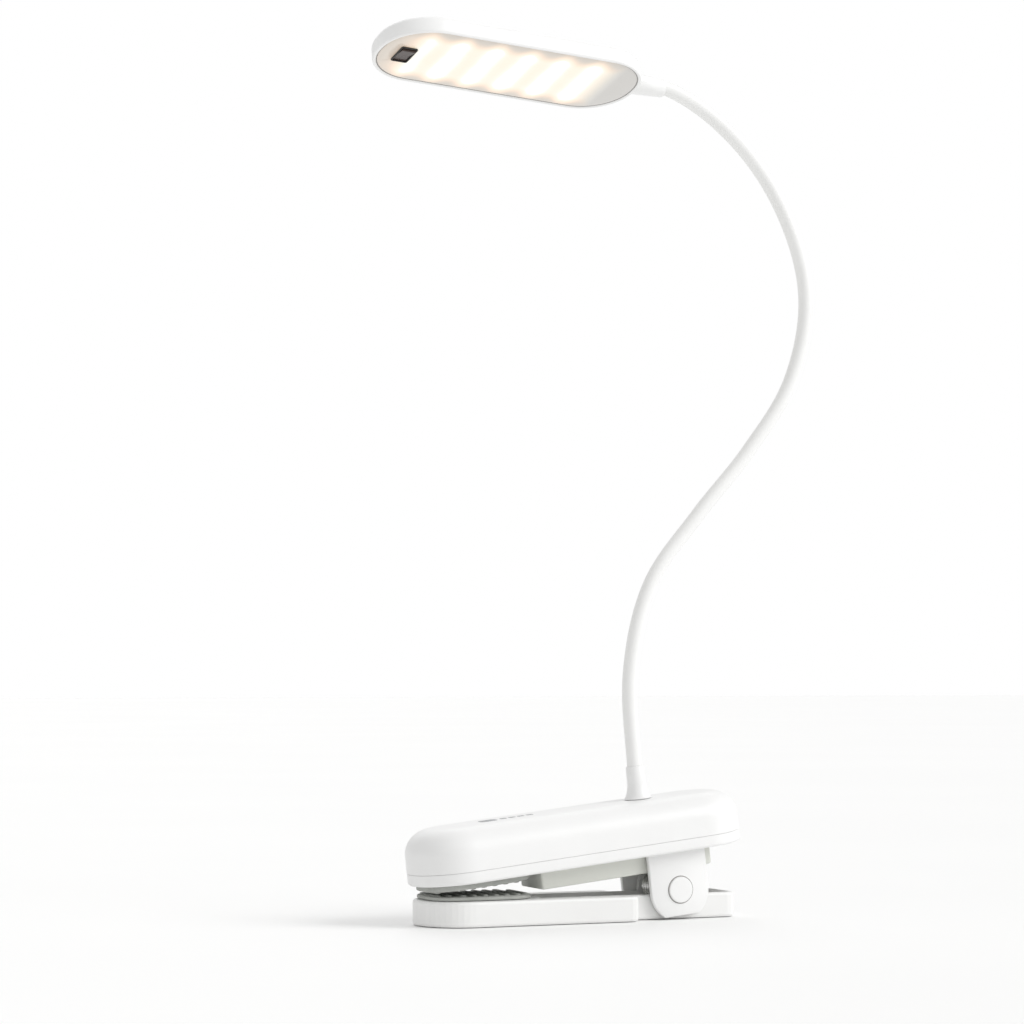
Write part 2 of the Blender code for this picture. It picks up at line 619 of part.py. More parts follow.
def neck():
    """The fittings at the foot, then the links from joint to joint. It returns the last joint's frame."""
    crown = HOUSING_CROWN
    collar_base = crown + GAP
    bore = NECK_RADIUS + GAP
    collar = turned("base_collar", [
        (bore, collar_base + COLLAR_HEIGHT), (COLLAR_TOP_RADIUS, collar_base + COLLAR_HEIGHT),
        *[(COLLAR_TOP_RADIUS + growth, collar_base + share * COLLAR_HEIGHT)
          for share, growth in COLLAR_FLARE],
        (COLLAR_FOOT_RADIUS, collar_base), (bore, collar_base)], HOUSING, WHITE)
    collar.location.x = NECK_FOOT
    inner = crown - HOUSING_WALL - GAP
    nut_top = inner - WASHER_HEIGHT - GAP
    nipple_low = nut_top - NUT_HEIGHT - NIPPLE_TAIL
    nipple_high = crown + NIPPLE_REACH * COLLAR_HEIGHT
    nipple = turned("neck_nipple", [(NIPPLE_BORE, nipple_high), (NECK_RADIUS, nipple_high),
                                    (NECK_RADIUS, nipple_low), (NIPPLE_BORE, nipple_low)], HOUSING, BRASS)
    washer = turned("neck_washer", [(bore, inner), (NUT_RADIUS, inner), (NUT_RADIUS, inner - WASHER_HEIGHT),
                                    (bore, inner - WASHER_HEIGHT)], HOUSING, STEEL)
    nut = prism("neck_nut", circle(NUT_RADIUS, steps=6), nut_top - NUT_HEIGHT, nut_top, HOUSING, BRASS)
    nut_bore = prism("cut_nut_bore", circle(bore), nipple_low, inner, HOUSING)
    combine(nut, nut_bore)
    for piece in (nipple, washer, nut, nut_bore):
        piece.location.x = NECK_FOOT
    root_low = nipple_high + GAP
    joint_height = collar_base + COLLAR_HEIGHT + NECK_JOINT_RISE
    root = turned("neck_root", cup_and_ball(joint_height - root_low, ball=False), HOUSING, SLEEVE)
    root.location = (NECK_FOOT, 0, root_low)

    place = HOUSING_PLACE @ Vector((NECK_FOOT, 0, joint_height))
    for number, lean in enumerate(NECK_LEANS, 1):
        along = Vector((math.sin(math.radians(lean)), 0, math.cos(math.radians(lean))))
        joint = frame(f"neck_joint_{number}", Matrix.Translation(place) @ Matrix.Rotation(
            math.radians(lean), 4, "Y"))
        turned(f"neck_link_{number}", cup_and_ball(NECK_LINK), joint, SLEEVE)
        place = place + along * NECK_LINK
    turn = (Matrix.Rotation(HEAD_YAW, 4, "Z") @ Matrix.Rotation(HEAD_PITCH, 4, "Y")
            @ Matrix.Rotation(HEAD_ROLL, 4, "X"))
    return frame("head_axis", Matrix.Translation(place) @ turn)


# ---- Head


def head_outline(inset=0.0):
    middle = -HEAD_START - HEAD_LENGTH / 2
    return rounded_rectangle(HEAD_LENGTH - 2 * inset, HEAD_WIDTH - 2 * inset, HEAD_CORNER - inset,
                             (middle, 0))


def along_neck(made):
    """Turns a piece whose profile rises along Z so that it rises towards the neck."""
    made.matrix_local = facing((1, 0, 0), (0, 0, 0))


def neck_tip():
    """The neck's last piece: a ball at the joint, and a spigot that turns in the head's collar."""
    shoulder = -HEAD_COLLAR_START + GAP
    end = -HEAD_START - HEAD_COLLAR_BITE + SPIGOT_CLEARANCE
    ball = [(r, h) for r, h in arc((0, 0), NECK_RADIUS, 90, 0, 4)]
    ball[0] = (0, NECK_RADIUS)
    tip = turned("neck_tip", [*ball, (NECK_RADIUS, shoulder), (SPIGOT_RADIUS, shoulder),
                              (SPIGOT_RADIUS, end), (0, end)], HEAD, SLEEVE)
    along_neck(tip)


def head_collar():
    """A tapered collar: round at the neck, and broad and flat where it enters the head."""
    steps = 20
    start, seat = -HEAD_COLLAR_START, -HEAD_START
    end = seat - HEAD_COLLAR_BITE
    face = seat + GAP
    sections = ((start, COLLAR_TOP_RADIUS, COLLAR_TOP_RADIUS),
                (0.5 * (start + face), (COLLAR_TOP_RADIUS + COLLAR_WIDE) / 2, COLLAR_TOP_RADIUS),
                (face, COLLAR_WIDE, COLLAR_FLAT), (face, TENON_WIDE, TENON_FLAT),
                (end, TENON_WIDE, TENON_FLAT))
    mesh = bpy.data.meshes.new("head_collar")
    work = bmesh.new()
    rings = []
    for x, wide, flat in sections:
        rings.append([work.verts.new((x, wide * a, flat * b)) for a, b in circle(1, steps=steps)])
    for near, far in zip(rings, rings[1:]):
        for i in range(steps):
            j = (i + 1) % steps
            work.faces.new((near[i], near[j], far[j], far[i]))
    work.faces.new(rings[0][::-1])
    work.faces.new(rings[-1])
    bmesh.ops.recalc_face_normals(work, faces=work.faces)
    work.to_mesh(mesh)
    work.free()
    collar = new_object("head_collar", mesh, HEAD, WHITE)
    bore = rod("cut_collar_bore", SPIGOT_RADIUS + GAP, end - MM, start + MM, HEAD)
    along_neck(bore)
    combine(collar, bore)


def head_shell():
    half = HEAD_HEIGHT / 2
    shell = prism("head_shell", head_outline(), -half, half, HEAD, WHITE, top_round=HEAD_ROUND,
                  base_round=HEAD_BASE_ROUND, segments=3)
    cavity = prism("cut_head", head_outline(HEAD_WALL), -half - MM, half - HEAD_WALL, HEAD,
                   top_round=HEAD_ROUND - HEAD_WALL, segments=2)
    reach = HEAD_COLLAR_BITE + 2 * MM
    socket = rounded_rectangle(2 * (TENON_WIDE + GAP), 2 * (TENON_FLAT + GAP), TENON_FLAT)
    mouth = prism("cut_head_mouth", socket, -HEAD_START - reach, -HEAD_START + MM, HEAD)
    mouth.data.transform(RISING_ALONG_X)
    combine(shell, cavity, mouth)


def diffuser():
    face = -HEAD_HEIGHT / 2 - DIFFUSER_PROUD
    lid = prism("diffuser", head_outline(HEAD_WALL + GAP), face, face + DIFFUSER_THICKNESS, HEAD, OPAL,
                base_round=DIFFUSER_ROUND, segments=2)
    hole = prism("cut_switch_hole", switch_outline(GAP - SWITCH_BEZEL), -HEAD_HEIGHT, HEAD_HEIGHT, HEAD)
    combine(lid, hole)


def switch_outline(grow=0.0):
    x = -HEAD_START - HEAD_LENGTH + SWITCH_INSET
    corner = max(SWITCH_CORNER + grow, 0.3 * MM)
    return rounded_rectangle(SWITCH_LENGTH + 2 * grow, SWITCH_WIDTH + 2 * grow, corner, (x, 0))


def leds():
    half = HEAD_HEIGHT / 2
    top = half - HEAD_WALL - GAP
    underside = top - LED_BOARD_THICKNESS
    board = prism("led_board", head_outline(HEAD_WALL + LED_BOARD_MARGIN), underside, top, HEAD, LED_BOARD)
    notch = prism("cut_board_notch", switch_outline(MM), -HEAD_HEIGHT, HEAD_HEIGHT, HEAD)
    mouth = box("cut_board_end", (-HEAD_START - HEAD_COLLAR_BITE - MM, -TENON_WIDE - MM, -half),
                (-HEAD_START + MM, TENON_WIDE + MM, half), HEAD)
    combine(board, notch, mouth)
    length, width, height = LED_SIZE
    middle = -HEAD_START - HEAD_LENGTH / 2 - LED_BLOCK_CENTRE
    high = underside - GAP
    for row in range(LED_ROWS):
        for column in range(LED_COLUMNS):
            x = middle + (column - (LED_COLUMNS - 1) / 2) * LED_PITCH
            y = (row - (LED_ROWS - 1) / 2) * LED_ROW_SPACING
            box(f"led_{row + 1}_{column + 1}", (x - length / 2, y - width / 2, high - height),
                (x + length / 2, y + width / 2, high), HEAD, CHIP)


def switch():
    """The switch body stands in the diffuser, and the rocker tips about an axis along the head."""
    face = -HEAD_HEIGHT / 2 - DIFFUSER_PROUD
    high = HEAD_HEIGHT / 2 - HEAD_WALL - GAP
    body = prism("switch_body", switch_outline(-SWITCH_BEZEL), face, high, HEAD, BLACK)
    bezel = prism("join_bezel", switch_outline(), face - 2 * GAP, face - GAP, HEAD)
    well = prism("cut_rocker_well", switch_outline(-SWITCH_WALL), face - MM,
                 face + ROCKER_DEPTH + SWITCH_WELL_CLEARANCE, HEAD)
    stem = prism("join_stem", switch_outline(-SWITCH_BEZEL), face - 1.5 * GAP, face + MM, HEAD)
    combine(body, stem, bezel, how="UNION")
    combine(body, well)

    x = -HEAD_START - HEAD_LENGTH + SWITCH_INSET
    axis = frame("rocker_axis", Matrix.Translation((x, 0, face + 0.5 * ROCKER_DEPTH)), HEAD)
    axis.rotation_euler = (ROCKER_TILT, 0, 0)
    length = SWITCH_LENGTH - 2 * SWITCH_WALL - 2 * GAP
    half = SWITCH_WIDTH / 2 - SWITCH_WALL - ROCKER_END_CLEARANCE
    deep = 0.5 * ROCKER_DEPTH
    face = -deep - SWITCH_PROUD
    outline = [(-half, face), (-half / 2, face + ROCKER_DIP / 2), (0, face + ROCKER_DIP),
               (half / 2, face + ROCKER_DIP / 2), (half, face), (half, 0.2 * deep), (half / 2, deep),
               (-half / 2, deep), (-half, 0.2 * deep)]
    rocker = plate("rocker", outline, -length / 2, length / 2, axis, BLACK_GLOSS)
    rocker.data.transform(Matrix.Rotation(math.radians(90), 4, "Z"))


clear_scene()
PARTS = new_collection("clip_on_reading_lamp")
CUTTERS = new_collection("cutters")

# Widths and heights in the housing's frame that several pieces share
CHANNEL_WIDTH = 2 * (CELL_RADIUS + CELL_CLEARANCE + HOUSING_WALL)
LUG_GAP = CHANNEL_WIDTH + 2 * LUG_SETBACK
HOUSING_MIDDLE = HOUSING_REAR - HOUSING_LENGTH / 2
SPLIT_HEIGHT = HOUSING_BASE + HOUSING_SPLIT
LUG_OUTER = LUG_GAP / 2 + LUG_THICKNESS
CELL_HEIGHT = HOUSING_BASE - CHANNEL_DEPTH + HOUSING_WALL + GAP + CELL_RADIUS
HOUSING_CROWN = CELL_HEIGHT + CELL_RADIUS + HOUSING_HEADROOM
SOCKET_CENTRE = HOUSING_BASE + HOUSING_WALL + SOCKET_LIFT

# Turns a piece that rises along Z, with its width along X, so that it rises along X with its width along Y
RISING_ALONG_X = Matrix(((0, 0, 1, 0), (1, 0, 0, 0), (0, 1, 0, 0), (0, 0, 0, 1)))

WHITE = material("white_plastic", (0.86, 0.86, 0.85), 0.38)
SLEEVE = material("neck_sleeve", (0.84, 0.84, 0.83), 0.5)
RUBBER = material("pad_rubber", (0.55, 0.56, 0.54), 0.8)
STEEL = material("steel", (0.62, 0.62, 0.62), 0.3, 1.0)
CHROME = material("spring_steel", (0.75, 0.75, 0.75), 0.15, 1.0)
BRASS = material("brass", (0.72, 0.55, 0.25), 0.3, 1.0)
OPAL = material("opal_diffuser", (0.98, 0.93, 0.84), 0.45)
LENS = material("indicator_lens", (0.5, 0.52, 0.53), 0.3)
BLACK = material("black_plastic", (0.03, 0.028, 0.026), 0.5)
BLACK_GLOSS = material("rocker_plastic", (0.06, 0.045, 0.04), 0.3)
CELL_WRAP = material("battery_wrap", (0.1, 0.35, 0.6), 0.4)
BOARD = material("circuit_board", (0.05, 0.28, 0.12), 0.5)
LED_BOARD = material("led_board", (0.85, 0.85, 0.83), 0.5)
CHIP = material("led_chip", (0.95, 0.8, 0.35), 0.4)

HOUSING_PLACE = Matrix.Translation((0, 0, PIN_HEIGHT)) @ Matrix.Rotation(-HOUSING_PITCH, 4, "Y")
HOUSING = frame("housing_axis", HOUSING_PLACE)
lower_jaw()
torsion_spring()
housing_bottom()
housing_top()
housing_fittings()
battery()
charging()
HEAD = neck()
neck_tip()
head_collar()
head_shell()
diffuser()
leds()
switch()
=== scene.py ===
"""The looks of the clip-on reading lamp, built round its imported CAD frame. Metres, +Z up."""

import json
import math

import bmesh
import bpy
import numpy as np
from mathutils import Matrix, Vector

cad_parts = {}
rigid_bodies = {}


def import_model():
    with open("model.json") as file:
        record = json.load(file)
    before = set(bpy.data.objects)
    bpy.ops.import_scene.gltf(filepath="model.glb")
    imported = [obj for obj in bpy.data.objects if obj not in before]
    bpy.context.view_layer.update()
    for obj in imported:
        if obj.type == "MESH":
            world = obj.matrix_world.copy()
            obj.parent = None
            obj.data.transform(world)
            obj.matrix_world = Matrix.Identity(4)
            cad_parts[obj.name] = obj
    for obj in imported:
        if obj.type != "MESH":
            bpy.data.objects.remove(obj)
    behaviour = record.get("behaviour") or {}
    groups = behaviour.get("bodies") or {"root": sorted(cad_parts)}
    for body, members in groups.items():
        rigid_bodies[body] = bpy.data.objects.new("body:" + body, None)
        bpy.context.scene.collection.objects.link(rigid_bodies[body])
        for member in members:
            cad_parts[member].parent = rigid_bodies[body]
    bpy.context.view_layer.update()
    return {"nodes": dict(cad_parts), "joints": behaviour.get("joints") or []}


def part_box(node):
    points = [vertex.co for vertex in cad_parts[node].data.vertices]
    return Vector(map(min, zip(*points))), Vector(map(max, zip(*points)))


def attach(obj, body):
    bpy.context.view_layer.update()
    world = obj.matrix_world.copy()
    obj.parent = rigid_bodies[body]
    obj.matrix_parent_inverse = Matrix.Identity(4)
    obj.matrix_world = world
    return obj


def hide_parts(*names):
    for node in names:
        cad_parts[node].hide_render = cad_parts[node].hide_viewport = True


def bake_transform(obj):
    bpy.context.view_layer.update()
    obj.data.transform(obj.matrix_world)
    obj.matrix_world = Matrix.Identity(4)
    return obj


for startup in list(bpy.data.objects):
    bpy.data.objects.remove(startup, do_unlink=True)
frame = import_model()

MM = 0.001
JOINTS = {joint["name"]: joint for joint in frame["joints"]}
NODES = frame["nodes"]

# ---- Frames that the pieces are built in


def basis(origin, x, y):
    """A matrix at origin whose X and Y point along x and y."""
    x, y = Vector(x).normalized(), Vector(y).normalized()
    z = x.cross(y).normalized()
    return Matrix.Translation(origin) @ Matrix((x, y, z)).transposed().to_4x4()


def centre(node):
    low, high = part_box(node)
    return (low + high) / 2


def corners(node, place):
    """The lowest and highest corners of a CAD node in the frame that place gives."""
    back = place.inverted()
    points = np.array([back @ v.co for v in NODES[node].data.vertices])
    return Vector(points.min(0)), Vector(points.max(0))


PIN = Vector(JOINTS["jaw_open"]["pos_m"])
WORLD = Matrix.Identity(4)
HOUSING = basis(PIN, centre("housing_screw_3") - centre("housing_screw_1"), (0, 1, 0))
HEAD = basis(JOINTS["head_roll"]["pos_m"], centre("led_1_6") - centre("led_1_1"),
             centre("led_2_1") - centre("led_1_1"))
ROCK = JOINTS["switch_rock"]
ROCKER = basis(ROCK["pos_m"], ROCK["axis"], HEAD.col[1][:3]) @ Matrix.Rotation(
    -math.radians(sum(ROCK["range_deg"]) / 2), 4, "X")

# ---- Materials


class Shading:
    """A Principled material and the few node set-ups that the lamp's surfaces share."""

    def __init__(self, name, colour, roughness, metallic=0.0, **sockets):
        self.material = bpy.data.materials.new(name)
        self.material.use_nodes = True
        self.nodes = self.material.node_tree.nodes
        self.links = self.material.node_tree.links
        self.shader = self.nodes["Principled BSDF"]
        self.shader.inputs["Base Color"].default_value = (*colour, 1)
        self.shader.inputs["Roughness"].default_value = roughness
        self.shader.inputs["Metallic"].default_value = metallic
        for socket, value in sockets.items():
            self.shader.inputs[socket.replace("_", " ")].default_value = value
        self.colour = colour
        self.place = self.nodes.new("ShaderNodeTexCoord").outputs["Object"]

    def feed(self, source, socket):
        self.links.new(source, socket)

    def noise(self, size, detail=2.0, stretch=None):
        """Noise whose blobs are about size across, in metres."""
        found = self.nodes.new("ShaderNodeTexNoise")
        found.inputs["Scale"].default_value = 1 / size
        found.inputs["Detail"].default_value = detail
        source = self.place
        if stretch:
            mapping = self.nodes.new("ShaderNodeMapping")
            mapping.inputs["Scale"].default_value = stretch
            self.feed(source, mapping.inputs["Vector"])
            source = mapping.outputs["Vector"]
        self.feed(source, found.inputs["Vector"])
        return found.outputs["Fac"]

    def ramp(self, source, *stops):
        """stops are (position, colour)."""
        found = self.nodes.new("ShaderNodeValToRGB")
        points = found.color_ramp.elements
        while len(points) < len(stops):
            points.new(0.5)
        for point, (position, colour) in zip(points, stops):
            point.position = position
            point.color = (*colour, 1)
        self.feed(source, found.inputs["Fac"])
        return found.outputs["Color"]

    def span(self, source, low, high, to_low, to_high, smooth=False):
        found = self.nodes.new("ShaderNodeMapRange")
        found.interpolation_type = "SMOOTHSTEP" if smooth else "LINEAR"
        for socket, value in zip(("From Min", "From Max", "To Min", "To Max"), (low, high, to_low, to_high)):
            found.inputs[socket].default_value = value
        self.feed(source, found.inputs["Value"])
        return found.outputs["Result"]

    def mix(self, share, source, colour):
        """source, moved towards colour by share."""
        found = self.nodes.new("ShaderNodeMix")
        found.data_type = "RGBA"
        named = {(socket.name, socket.type): socket for socket in found.inputs}
        self.feed(share, named["Factor", "VALUE"])
        self.feed(source, named["A", "RGBA"])
        named["B", "RGBA"].default_value = (*colour, 1)
        return next(socket for socket in found.outputs if socket.type == "RGBA")

    def math(self, operation, a, b=0.0):
        found = self.nodes.new("ShaderNodeMath")
        found.operation = operation
        for socket, value in zip(found.inputs, (a, b)):
            if isinstance(value, (int, float)):
                socket.default_value = value
            else:
                self.feed(value, socket)
        return found.outputs["Value"]

    def tone(self, size, share):
        """The colour drifts darker by share, in blobs of size."""
        darker = tuple(c * (1 - share) for c in self.colour)
        shade = self.ramp(self.noise(size), (0.35, darker), (0.65, self.colour))
        self.feed(shade, self.shader.inputs["Base Color"])
        return self

    def gloss(self, size, low, high):
        self.feed(self.span(self.noise(size, 4), 0.3, 0.7, low, high), self.shader.inputs["Roughness"])
        return self

    def relief(self, source, depth):
        bump = self.nodes.new("ShaderNodeBump")
        bump.inputs["Distance"].default_value = depth
        bump.inputs["Strength"].default_value = 1.0
        self.feed(source, bump.inputs["Height"])
        self.feed(bump.outputs["Normal"], self.shader.inputs["Normal"])
        return self

    def grain(self, size, depth):
        return self.relief(self.noise(size, 3), depth)


def plastic(name, colour, roughness, grain_size=0.5 * MM, depth=0.006 * MM):
    """Satin moulded plastic, with spark-eroded grain and a slow drift in tone and gloss."""
    made = Shading(name, colour, roughness, Specular_IOR_Level=0.45)
    made.tone(35 * MM, 0.02).gloss(12 * MM, roughness - 0.04, roughness + 0.05).grain(grain_size, depth)
    return made.material


def metal(name, colour, roughness, stretch):
    """Drawn or turned metal: fine lines along the way that stretch leaves long."""
    made = Shading(name, colour, roughness, metallic=1.0)
    lines = made.noise(0.4 * MM, 4, stretch)
    made.feed(made.span(lines, 0.3, 0.7, roughness * 0.7, roughness * 1.4), made.shader.inputs["Roughness"])
    made.feed(made.ramp(lines, (0.3, tuple(c * 0.85 for c in colour)), (0.7, colour)),
              made.shader.inputs["Base Color"])
    return made.relief(lines, 0.01 * MM).material


def rubber(name, colour):
    made = Shading(name, colour, 0.75, Specular_IOR_Level=0.3)
    return made.tone(8 * MM, 0.12).grain(0.25 * MM, 0.05 * MM).material


def circuit(name, colour, line_colour):
    """Solder mask with the faint raised tracks that run under it."""
    made = Shading(name, colour, 0.4)
    tracks = made.nodes.new("ShaderNodeTexBrick")
    tracks.inputs["Scale"].default_value = 1 / (6 * MM)
    tracks.inputs["Color1"].default_value = tracks.inputs["Color2"].default_value = (*colour, 1)
    tracks.inputs["Mortar"].default_value = (*line_colour, 1)
    tracks.inputs["Mortar Size"].default_value = 0.03
    made.feed(made.place, tracks.inputs["Vector"])
    made.feed(tracks.outputs["Color"], made.shader.inputs["Base Color"])
    return made.relief(tracks.outputs["Fac"], 0.05 * MM).material


def lit_diffuser():
    """Opal sheet lit by two rows of LEDs: bright bars across it, peach edges, unlit at the neck's end."""
    made = Shading("lit_opal", (0.3, 0.295, 0.285), 0.35)
    axes = made.nodes.new("ShaderNodeSeparateXYZ")
    made.feed(made.place, axes.inputs["Vector"])
    along, across = axes.outputs["X"], axes.outputs["Y"]
    back = HEAD.inverted()
    first, last = (back @ centre("led_1_1")).x, (back @ centre("led_1_6")).x
    pitch = (last - first) / 5
    low, high = corners("diffuser", HEAD)

    turns = made.math("MULTIPLY", made.math("SUBTRACT", along, first), 2 * math.pi / pitch)
    bars = made.span(made.math("COSINE", turns), -1, 1, 0, 1)
    wander = made.span(made.noise(14 * MM), 0.3, 0.7, -0.12, 0.12)
    bars = made.math("ADD", bars, wander)

    # The lit patch: its long edges bulge at each bar, and its ends fade
    reach = made.span(bars, 0, 1, high.y - 4.5 * MM, high.y - 1.5 * MM)
    inside = made.math("SUBTRACT", reach, made.math("ABSOLUTE", across))
    sides = made.span(inside, -3 * MM, 6 * MM, 0, 1, smooth=True)
    free_end = made.span(along, low.x + 2 * MM, first + 4 * MM, 0.05, 1, smooth=True)
    light = made.math("MULTIPLY", made.math("MULTIPLY", sides, free_end), made.span(bars, 0, 1, 0.66, 1.0))
    glow = made.ramp(light, (0.0, (0.36, 0.32, 0.275)), (0.3, (0.6, 0.46, 0.345)), (0.55, (0.7, 0.58, 0.44)),
                     (0.75, (0.68, 0.63, 0.53)), (0.92, (0.85, 0.83, 0.77)))
    neck_end = made.span(along, last + 4 * MM, last + 15 * MM, 0, 1, smooth=True)
    made.feed(made.mix(neck_end, glow, (0.31, 0.3, 0.285)), made.shader.inputs["Emission Color"])
    made.shader.inputs["Emission Strength"].default_value = 1.0
    return made.grain(0.3 * MM, 0.01 * MM).material


def printed(name):
    """Grey pad-printed ink, worn thin in specks."""
    made = Shading(name, (0.34, 0.35, 0.36), 0.45)
    return made.tone(1.2 * MM, 0.25).grain(0.3 * MM, 0.01 * MM).material


WHITE = plastic("white_satin", (0.84, 0.84, 0.835), 0.38)
HEAD_WHITE = plastic("white_head", (0.86, 0.86, 0.855), 0.34, 0.4 * MM, 0.004 * MM)
JAW_WHITE = plastic("white_jaw", (0.82, 0.82, 0.81), 0.42, 0.6 * MM, 0.01 * MM)
SLEEVE = plastic("sleeve_white", (0.84, 0.84, 0.83), 0.46, 1.2 * MM, 0.001 * MM)
# Painted shade: the battery channel is white plastic, coloured darker and grey-green as it looks in the shade
# under the housing's overhang.
CHANNEL_SHADE_GREY = plastic("channel_painted_shade", (0.7, 0.71, 0.66), 0.45)
BLACK = plastic("black_matte", (0.02, 0.018, 0.016), 0.5, 0.4 * MM, 0.01 * MM)
ROCKER_BLACK = plastic("rocker_brown_black", (0.05, 0.032, 0.028), 0.25, 0.5 * MM, 0.004 * MM)
RUBBER = rubber("pad_rubber", (0.43, 0.44, 0.415))
CHROME = metal("spring_chrome", (0.78, 0.78, 0.77), 0.12, (1, 12, 12))
STEEL = metal("plated_steel", (0.6, 0.6, 0.6), 0.28, (1, 1, 8))
BRASS = metal("turned_brass", (0.72, 0.52, 0.22), 0.25, (1, 1, 10))
OPAL = lit_diffuser()
INK = printed("grey_print")
WRAP = plastic("cell_wrap", (0.08, 0.3, 0.55), 0.35)
GREEN_BOARD = circuit("green_board", (0.03, 0.2, 0.08), (0.06, 0.3, 0.13))
WHITE_BOARD = circuit("white_board", (0.8, 0.8, 0.78), (0.68, 0.68, 0.66))
CHIP = plastic("phosphor", (0.9, 0.7, 0.2), 0.4)
# Painted shade: a dark grey laid as thin bands where the gaps round the pin caps and the diffuser would be in
# shadow.
GAP_SHADE_GREY = plastic("gap_shadow", (0.32, 0.31, 0.3), 0.6)

# ---- Mesh building


def piece(name, work, place, finish, body, smooth_under=38, keep_frame=False):
    """A mesh object from a bmesh in the frame that place gives, riding on a body. The mesh moves to world
    space unless it keeps its frame, which its texture then follows."""
    bmesh.ops.remove_doubles(work, verts=work.verts, dist=1e-6)
    bmesh.ops.dissolve_degenerate(work, edges=work.edges, dist=1e-7)
    bmesh.ops.recalc_face_normals(work, faces=work.faces)
    mesh = bpy.data.meshes.new(name)
    work.to_mesh(mesh)
    work.free()
    if not keep_frame:
        mesh.transform(place)
    mesh.shade_smooth()
    mesh.set_sharp_from_angle(angle=math.radians(smooth_under))
    mesh.materials.append(finish)
    made = bpy.data.objects.new(name, mesh)
    bpy.context.scene.collection.objects.link(made)
    if keep_frame:
        made.matrix_world = place
    if body:
        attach(made, body)
    return made


def add_loft(work, rings, loop=False):
    """Quads from each ring of points to the next. The end rings get a face each, unless it is a loop."""
    rows = [[work.verts.new(point) for point in ring] for ring in rings]
    pairs = list(zip(rows, rows[1:]))
    if loop:
        pairs.append((rows[-1], rows[0]))
    for near, far in pairs:
        for i in range(len(near)):
            j = (i + 1) % len(near)
            work.faces.new((near[i], near[j], far[j], far[i]))
    if not loop:
        work.faces.new(rows[0][::-1])
        work.faces.new(rows[-1])


def arc(middle, radius, start, end, steps):
    """Points from angle start to angle end, in degrees."""
    angles = [math.radians(start + (end - start) * i / steps) for i in range(steps + 1)]
    return [(middle[0] + radius * math.cos(a), middle[1] + radius * math.sin(a)) for a in angles]


def rounded(length, width, corner, middle, steps):
    """A function that gives a rounded rectangle, inset by a distance."""
    def outline(inset):
        radius = max(corner - inset, 0.02 * MM)
        x, y = length / 2 - inset - radius, max(width / 2 - inset - radius, 0)
        points = []
        for sx, sy, start in ((1, -1, -90), (1, 1, 0), (-1, 1, 90), (-1, -1, 180)):
            points += arc((middle[0] + sx * x, middle[1] + sy * y), radius, start, start + 90, steps)
        return points
    return outline


def add_slab(work, outline, profile, loop=False):
    """Stacks the outline at each (inset, height) of the profile."""
    add_loft(work, [[Vector((x, y, z)) for x, y in outline(inset)] for inset, z in profile], loop)


def add_turned(work, profile, steps=48, loop=False):
    """A profile of (radius, height) points turned about Z."""
    rings = []
    for radius, height in profile:
        circle = arc((0, 0), max(radius, 0.01 * MM), 0, 360 - 360 / steps, steps - 1)
        rings.append([Vector((x, y, height)) for x, y in circle])
    add_loft(work, rings, loop)


# ---- Battery housing

LOW, HIGH = corners("housing_top", HOUSING)
BASE_LOW = corners("upper_pad", HOUSING)[1].z + 0.3 * MM
SEAM = LOW.z - 0.15 * MM
WALL = 2 * MM
HOUSING_LENGTH, HOUSING_WIDTH = HIGH.x - LOW.x, HIGH.y - LOW.y
HOUSING_OUTLINE = rounded(HOUSING_LENGTH, HOUSING_WIDTH, HOUSING_WIDTH / 2, ((LOW.x + HIGH.x) / 2, 0), 24)
CROWN_FALL = 0.5 * MM  # how much lower the top's edge is than its middle
TOP_ROUND_IN, TOP_ROUND_UP = 12 * MM, 10.5 * MM
PARTING = 0.05 * MM  # half the gap between the two shells
LUG_HALF = 14.2 * MM
LUG_THICKNESS = 2.6 * MM
LUG_OUTER = corners("hinge_pin", HOUSING)[1].y + 1.0 * MM
CHANNEL_FRONT, CHANNEL_REAR = 64.5 * MM, 19 * MM  # from the pin
CHANNEL_WIDTH, CHANNEL_DEPTH = 24 * MM, 8.4 * MM
RIB_HEIGHT = 0.7 * MM  # of the pads
RIBS = 9


def housing_top():
    """The upper shell: a soft crown, a broad rounding, and a small step at the parting line."""
    top, seam = HIGH.z, SEAM + PARTING
    half = HOUSING_WIDTH / 2
    crown = [(inset, top - CROWN_FALL * ((half - inset) / half) ** 2)
             for inset in np.linspace(half - 0.1 * MM, TOP_ROUND_IN, 6)]
    shoulder = [(TOP_ROUND_IN * (1 - math.sin(a)), crown[-1][1] - TOP_ROUND_UP * (1 - math.cos(a)))
                for a in np.linspace(0, math.pi / 2, 13)][1:]
    outer = [*crown, *shoulder, (0, seam + 0.12 * MM), (0.1 * MM, seam)]
    inner = [(WALL, seam), (WALL, shoulder[-1][1]), (TOP_ROUND_IN * 0.5, shoulder[6][1] - WALL),
             (TOP_ROUND_IN, crown[-1][1] - WALL), (half - 0.1 * MM, top - WALL)]
    work = bmesh.new()
    add_slab(work, HOUSING_OUTLINE, [*outer, *inner])
    made = piece("housing_top_skin", work, HOUSING, WHITE, "housing")
    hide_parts("housing_top")


def lug_outline(inset):
    """A lug from the side: straight at the top, round at the front and rear, cut flat at the bottom."""
    low = corners("housing_bottom", HOUSING)[0].z + inset
    radius = LUG_HALF - inset
    flat = math.degrees(math.asin(min(1, -low / radius)))
    return [(radius, BASE_LOW + 0.5 * MM), (-radius, BASE_LOW + 0.5 * MM),
            *arc((0, 0), radius, 180, 180 + flat, 14), *arc((0, 0), radius, 360 - flat, 360, 14)]


